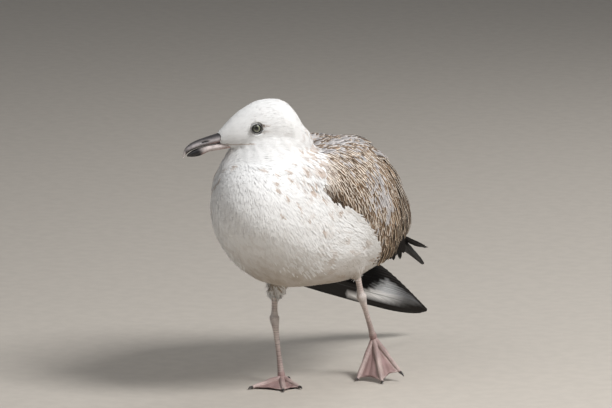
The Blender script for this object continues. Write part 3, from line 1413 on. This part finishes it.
class GULL_OT_coverts(Operator):
    """The ordered feathers of both folded wings, row behind row"""

    bl_idname = "gull.coverts"
    bl_label = "Wing feathers"

    def execute(self, context):
        sizes, colours = context.scene.gull_sizes, context.scene.gull_colours
        surface = surface_of("skin")
        rng = np.random.default_rng(sizes.seed + 1)
        material = vane_material("worn_wing_feathers")
        for side, name in ((1, "left"), (-1, "right")):
            for tract, plan in TRACTS.items():
                self.tract(f"{tract}_{name}", tract, plan, side, surface, material, rng, colours)
        return {"FINISHED"}

    def tract(self, name, kind, plan, side, surface, material, rng, colours):
        _, _, low, _, steep, length, half, _, _, root, tip = plan
        slope = np.array((cos(radians(steep)), -sin(radians(steep))))
        y, angle, fit = self.roots(plan, slope, side, rng)
        centre = np.stack([y * 0, y, trunk_centre(y)], 1)
        out = np.stack([side * np.cos(angle), y * 0, np.sin(angle)], 1)
        places, face = surface.struck(centre + out * 160, -out)
        hit = face >= 0
        places, face, y, angle, fit = (x[hit] for x in (places, face, y, angle, fit))
        up = surface.normals[face]
        around = np.stack([-side * np.sin(angle), y * 0, np.cos(angle)], 1)
        ways = around * slope[1] + np.array((0, 1.0, 0)) * slope[0]
        ways = ways + np.cross(up, ways) * rng.normal(0, 0.05, (len(y), 1))
        ways = unit(ways - up * np.einsum("ij,ij->i", ways, up)[:, None])
        lengths = length * fit * rng.uniform(0.88, 1.1, len(y))
        widths = half * rng.uniform(0.85, 1.15, len(y)) * (0.6 + 0.4 * fit)
        lift = rng.uniform(0.85, 1.15, len(y))
        if low < 0:  # a few ragged ones along the rear
            lift = lift + 0.8 * (rng.random(len(y)) < 0.14) * (y > 55)
        elif kind == "scapulars":
            lift = lift + 1.0 * (rng.random(len(y)) < 0.22) * (y > 45)
        stations = np.array((0, 0.25, 0.55, 0.8, 0.94, 1.0))
        rise = [(root + (tip - root) * s**0.7) * lift for s in stations]
        lines, ups, forwards = lay(surface, places, ways, lengths, stations, rise)
        outline = (0.5, 0.95, 1.0, 0.86, 0.5, 0.15)
        points, faces, along, spread, each, corners = vanes(
            lines, ups, forwards, widths, outline, BROAD, 0.4
        )
        made = make_object(name, points, faces, material, corners)
        edge, _ = wing_edges(side, y)
        layers = self.tones(kind, places, y, np.degrees(angle), edge, rng, colours)
        layers["own"] = rng.random(len(y)) * 40
        layers = {key: np.repeat(values, each, axis=0) for key, values in layers.items()}
        paint(made, along=along, across=spread, **layers)
        set_bake_map(made, surface.uv[face].mean(1), each, along, spread)

    def roots(self, plan, slope, side, rng):
        """Rows of roots: along the bird, round it in radians, and the share of the length."""
        first, last, low, high, _, length, _, step, beside, _, _ = plan
        across = np.array((-slope[1], slope[0]))
        i, j = (x.ravel() for x in np.meshgrid(np.arange(-40, 60), np.arange(-60, 80)))
        spot = np.outer(i * step, slope) + np.outer((j + (i % 2) / 2) * beside, across)
        spot = spot + rng.normal(0, 0.12, spot.shape) * (step, beside)
        y, angle = spot[:, 0], spot[:, 1] / DEGREE
        under, above = wing_edges(side, y)
        fit = np.zeros(len(y))
        for share in np.linspace(0.4, 1.0, 13):  # shorter feathers near the wing's lower edge
            tip_y = y + share * length * slope[0]
            tip_angle = angle + share * length * slope[1] / DEGREE
            clear = tip_angle > wing_edges(side, tip_y)[0] - 3
            fit = np.where(clear | (tip_y > 150), share, fit)
        keep = (y > first) & (y < last) & (angle > low) & (angle < high) & (fit > 0)
        keep &= on_wing(y, angle) & (y < 196) & (angle > under + 4) & (angle < above + 4)
        return y[keep], np.radians(angle[keep]), fit[keep]

    def tones(self, kind, places, y, angle, under, rng, colours):
        """Each feather's vane, dark middle, fringe and quill colours, and how worn it is."""
        count = len(y)
        covert, dark, pale, grey = (
            np.array(getattr(colours, k)) for k in ("covert", "bistre", "fringe", "mantle")
        )

        def own(low, high):
            return rng.uniform(low, high, (count, 1))

        patch = mottle(places, 20, 31)
        rear = (1 - 0.5 * smoothstep(32, 90, y))[:, None]
        tone = covert * own(0.55, 1.4) * (0.75 + 0.5 * patch[:, None]) * rear
        core, fringe = dark * own(0.6, 1.5) * rear, pale * own(0.75, 1.15)
        worn = 0.12 + 0.25 * rng.random(count)
        fresh = np.zeros(count)
        if kind in ("scapulars", "mantle"):
            tone = tone * 0.95 + 0.06
            fresh = (0.22 + 0.6 * patch) * (1 - 0.7 * smoothstep(40, 90, y))
            worn = worn + 0.15
        elif kind == "lesser":
            fresh = 0.3 * smoothstep(38, 55, angle)
            worn = worn + 0.55 * smoothstep(16, 34, angle)
        elif kind in ("median", "greater"):
            side = np.sign(places[:, :1]) * (1, 0, 0) + (0, 1, 1)
            fresh = 0.08 * (y < 50) + 0.85 * near(places * side, (76, 7, 235), (34, 30, 26))
            fresh = fresh + 0.6 * near(places * side, (80, 33, 212), (24, 20, 22))
            worn = worn + 0.5 * smoothstep(75, 5, y)
        new = (rng.random(count) < fresh)[:, None]
        tone = np.where(new, grey * own(0.78, 1.15), tone)
        core = np.where(new & (own(0, 1) < 0.5), grey * 0.3, np.where(new, grey * 0.8, core))
        fringe = np.where(new, grey * own(1.1, 1.35), fringe)
        rear_low = smoothstep(40, -30, angle) * smoothstep(20, 65, y)
        warm = 1 - rear_low[:, None] * np.array((0.10, 0.18, 0.30))
        tone, core, fringe = tone * warm, core * warm, fringe * warm
        if kind == "lesser":
            low = smoothstep(18, 5, angle - under)[:, None] * smoothstep(0, -25, y)[:, None]
            tone, fringe = tone * (1 - 0.75 * low) + dark * 0.75 * low, fringe * (1 - 0.6 * low)
            worn = worn * (1 - 0.7 * low[:, 0])
            front = 26 - (y - wing_front(angle))
            soft = smoothstep(0, 22, front) * smoothstep(22, 34, angle) * (0.25 + rng.random(count))
            soft = np.clip(soft, 0, 0.95)
            tone = tone * (1 - soft[:, None]) + np.array(colours.white) * 0.9 * soft[:, None]
            core = core * (1 - soft[:, None]) + covert * 1.6 * soft[:, None]
        elif kind == "secondaries":
            tone = dark * own(0.8, 1.5)
            core, fringe, worn = tone * 0.6, tone * 3.0, worn * 0.5
        return {"tone": tone, "core": core, "fringe": np.clip(fringe, 0, 0.9),
                "quill": core * 0.5, "wear": worn}


# ---- flight feathers and tail ----------------------------------------------------------------
# Roots, bends and tips of the innermost, a middle and the outermost feather of each fan. Each
# feather is shifted further out, up to the spread. Its vanes lie along across, and it narrows
# from the taper to the tip. Ragged tips are lengthened by a share between two numbers.
FANS = {
    "primaries_left": {
        "side": 1, "count": 5, "stations": 22, "width": 5.5, "spread": 1.7,
        "across": (0.33, 0, -0.94), "taper": 0.86,
        "roots": ((60, 96, 160), (62, 88, 155), (64, 80, 150)),
        "bends": ((27, 168, 150), (19.5, 184, 141), (12, 200, 132)),
        "tips": ((13, 228, 119), (7, 256, 107), (3, 282, 93)),
    },
    "primaries_right": {
        "side": -1, "count": 22, "stations": 46, "width": 10.5, "spread": 2.8,
        "across": (-0.33, 0, -0.94), "taper": 0.8,
        "roots": ((-70, 50, 152), (-70, 26, 146), (-66, 10, 134)),
        "bends": ((-76, 112, 134), (-73, 132, 112), (-68, 146, 87)),
        "tips": ((-58, 205, 116), (-37, 277, 79), (-11, 326, 31)),
    },
    "tertials_left": {
        "side": 1, "count": 14, "stations": 22, "width": 3.2, "spread": 1.5,
        "across": (0.88, 0.47, -0.1), "taper": 0.6, "ragged": (-0.3, 0.1),
        "roots": ((66, 56, 160), (62, 84, 156), (56, 120, 156)),
        "bends": ((61, 80, 145), (57, 102, 142), (50, 136, 146)),
        "tips": ((57, 86, 131), (53, 113, 126), (44, 152, 124)),
    },
}
# The pale tongue on the spread wing: place along the bird, height of its middle, half height.
TONGUE = ((196, 64, 0.1), (208, 64, 2.5), (230, 63, 5), (250, 63.5, 9), (268, 60.5, 12),
          (283, 54, 9.5), (300, 46, 6), (316, 38, 0.1))
# A long feather's section, with the shaft's ridge nearer its leading edge.
SHAFT = -0.42
BLADE = [(-1, 0), (-0.7, 0.25), (SHAFT, 0.9), (-0.1, 0.35), (0.45, 0.2), (1, 0), (0.4, -0.2),
         (SHAFT, -0.5)]
# The tail: place along the bird, height, and half width.
TAIL = ((120, 166, 18), (165, 152, 22), (205, 138, 27), (232, 128, 30), (245, 123.5, 31))
TAIL_FEATHERS = 12


def rounded_end(place, taper):
    """A feather's share of its half width where it narrows from taper to the tip."""
    end = np.maximum(place - taper, 0) / (1 - taper)
    return np.sqrt(np.clip(1 - end**2.4, 0.02, 1))


def blades(lines, across, widths, outline):
    """Stiff long feathers round given middle lines."""
    forwards = unit(np.gradient(lines, axis=1))
    wide = across - forwards * np.einsum("ijk,ijk->ij", forwards, across)[..., None]
    ups = np.cross(unit(wide), forwards)
    points, faces, along, spread, each, _ = vanes(lines, ups, forwards, widths, outline, BLADE)
    spread = spread - SHAFT
    return points, faces, along, spread / np.where(spread > 0, 1 - SHAFT, 1 + SHAFT), each


class GULL_OT_flight(Operator):
    """The long flight feathers and the tail, feather by feather"""

    bl_idname = "gull.flight"
    bl_label = "Flight feathers and tail"

    def execute(self, context):
        sizes, colours = context.scene.gull_sizes, context.scene.gull_colours
        rng = np.random.default_rng(sizes.seed + 2)
        long_vane = vane_material("long_feathers", 0.5, 0.9, 0.07, 0.1, 1.0)
        for name, plan in FANS.items():
            self.fan(name, plan, long_vane, rng, colours)
        self.tail(long_vane, rng, colours)
        return {"FINISHED"}

    def fan(self, name, plan, material, rng, colours):
        count = plan["count"]
        t = np.linspace(0, 1, count)
        shift = np.zeros((count, 3))
        shift[:, 0] = plan["side"] * np.linspace(0, plan["spread"], count)
        root, bend, tip = (catmull(plan[k], t) + shift for k in ("roots", "bends", "tips"))
        if "ragged" in plan:
            tip = tip + (tip - bend) * rng.uniform(*plan["ragged"], (count, 1))
        root, bend, tip = (x[:, None] for x in (root, bend, tip))
        place = np.linspace(0, 1, plan["stations"])
        s = place[None, :, None]
        lines = root * (1 - s) ** 2 + bend * 2 * s * (1 - s) + tip * s**2
        across = np.broadcast_to(unit(np.array(plan["across"])), lines.shape)
        outline = (0.55 + 0.45 * smoothstep(0, 0.25, place)) * rounded_end(place, plan["taper"])
        points, faces, along, spread, each = blades(
            lines, across, np.full(count, float(plan["width"])), outline
        )
        made = make_object(f"{name}_vanes", points, faces, material)
        if name.startswith("primaries"):
            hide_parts(name)
        pale = self.tongue(points) if name == "primaries_right" else np.zeros((len(points), 1))
        tone = np.array(colours.black) * (1 - pale)
        tone = tone + (np.array(colours.fringe) * 0.05 + 0.92) * pale
        paint(
            made, along=along, across=spread, own=np.repeat(rng.random(count) * 40, each),
            tone=tone, core=tone * 0.7, fringe=tone * 1.3 + 0.01, quill=tone * 0.5 + 0.03,
        )

    def tongue(self, points):
        """1 on the pale tongue of the spread wing, fading towards its tip."""
        y, z = points[:, 1:].T
        along, middle, reach = np.array(TONGUE, float).T
        off = (z - np.interp(y, along, middle)) / np.interp(y, along, reach)
        inside = np.where(off > 0, smoothstep(1.08, 0.94, off), smoothstep(-1.1, -0.8, off))
        return (inside * (1 - 0.92 * smoothstep(248, 294, y)))[:, None]

    def tail(self, material, rng, colours):
        count = TAIL_FEATHERS
        place = np.linspace(-1, 1, count)
        s = np.linspace(0, 1, 26)
        y, z, w = catmull(TAIL, s).T
        start = TAIL[0][0]
        x = place[:, None] * (w - 6)
        length = start + (y - start) * (1 - 0.035 * place**2)[:, None]
        droop = 0.12 * w * place[:, None] ** 2
        stack = 0.5 * (count / 2 - np.abs(np.arange(count) - (count - 1) / 2))
        lines = np.stack([x, length, z - droop + stack[:, None] - 1.6], axis=-1)
        across = np.zeros_like(lines)
        across[..., 0] = -np.where(place < 0, -1, 1)[:, None]
        outline = (0.6 + 0.4 * smoothstep(0, 0.4, s)) * rounded_end(s, 0.86)
        points, faces, along, spread, each = blades(lines, across, np.full(count, 8.0), outline)
        made = make_object("tail_vanes", points, faces, material)
        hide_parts("tail")
        corner = 0.4 * np.repeat(np.abs(place) ** 3, each)
        band = smoothstep(0.60, 0.68, along + corner + 0.03 * mottle(points, 5, 11))[:, None]
        white, black = np.array(colours.white), np.array(colours.black)
        tone = white * 0.9 * (1 - band) + black * band
        paint(
            made, along=along, across=spread, own=np.repeat(rng.random(count) * 40, each),
            tone=tone, core=tone * 0.7, fringe=np.clip(tone * 1.8, 0, 0.8), quill=tone * 0.6,
        )


# ---- panel and run ---------------------------------------------------------------------------
STEPS = (
    GULL_OT_stage, GULL_OT_skin, GULL_OT_eyes, GULL_OT_bill, GULL_OT_legs, GULL_OT_down,
    GULL_OT_coverts, GULL_OT_flight,
)


class GULL_PT_panel(Panel):
    """The gull's settings and its steps"""

    bl_label = "Young Gull"
    bl_idname = "GULL_PT_panel"
    bl_space_type = "VIEW_3D"
    bl_region_type = "UI"
    bl_category = "Gull"

    def draw(self, context):
        scene = context.scene
        for group in (scene.gull_stage, scene.gull_sizes, scene.gull_colours):
            box = self.layout.box()
            for name in group.__annotations__:
                box.prop(group, name)
        for step in STEPS:
            self.layout.operator(step.bl_idname)


CLASSES = (GullSizes, GullColours, GullStage, *STEPS, GULL_PT_panel)


def register():
    for one in CLASSES:
        bpy.utils.register_class(one)
    bpy.types.Scene.gull_sizes = PointerProperty(type=GullSizes)
    bpy.types.Scene.gull_colours = PointerProperty(type=GullColours)
    bpy.types.Scene.gull_stage = PointerProperty(type=GullStage)


def unregister():
    del bpy.types.Scene.gull_sizes
    del bpy.types.Scene.gull_colours
    del bpy.types.Scene.gull_stage
    for one in reversed(CLASSES):
        bpy.utils.unregister_class(one)


def main():
    register()
    for step in STEPS:
        group, name = step.bl_idname.split(".")
        getattr(getattr(bpy.ops, group), name)()
    boxes = {"cad": CAD_BOX, "visual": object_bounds()}
    {key: [list(corner) for corner in box] for key, box in boxes.items()}


if __name__ == "__main__":
    main()
